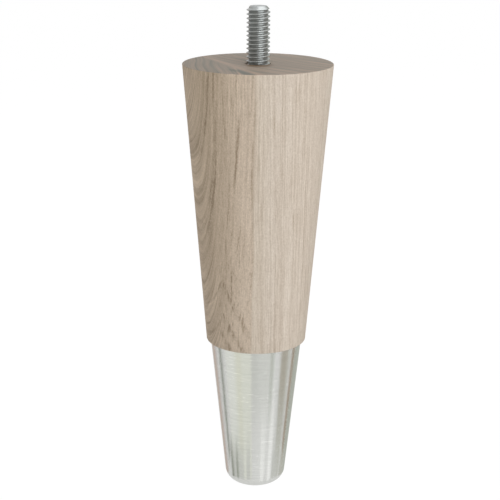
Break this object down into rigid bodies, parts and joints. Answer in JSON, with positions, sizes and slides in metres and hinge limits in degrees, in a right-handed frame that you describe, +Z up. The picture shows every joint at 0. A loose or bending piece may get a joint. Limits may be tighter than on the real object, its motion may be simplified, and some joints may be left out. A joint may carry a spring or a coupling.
{
  "type": "tapered furniture leg",
  "caption": "Tapered round wooden furniture leg with a brushed metal foot and a threaded mounting stud on its flat top.",
  "frame": {"origin": "centre of the floor contact, on the turning axis", "axes": "+Z up along the turning axis, from the foot to the mounting face"},
  "size_m": [0.0508, 0.0508, 0.1715],
  "materials": {
    "oak": "pale, whitewashed greige oak, matt",
    "ferrule_steel": "turned and brushed round the axis, satin",
    "bolt_steel": "zinc plated",
    "glide_nylon": "natural nylon"
  },
  "bodies": {
    "root": {"oak_body": "oak", "steel_ferrule": "ferrule_steel", "hanger_bolt": "bolt_steel", "floor_glide": "glide_nylon"}
  },
  "joints": []
}
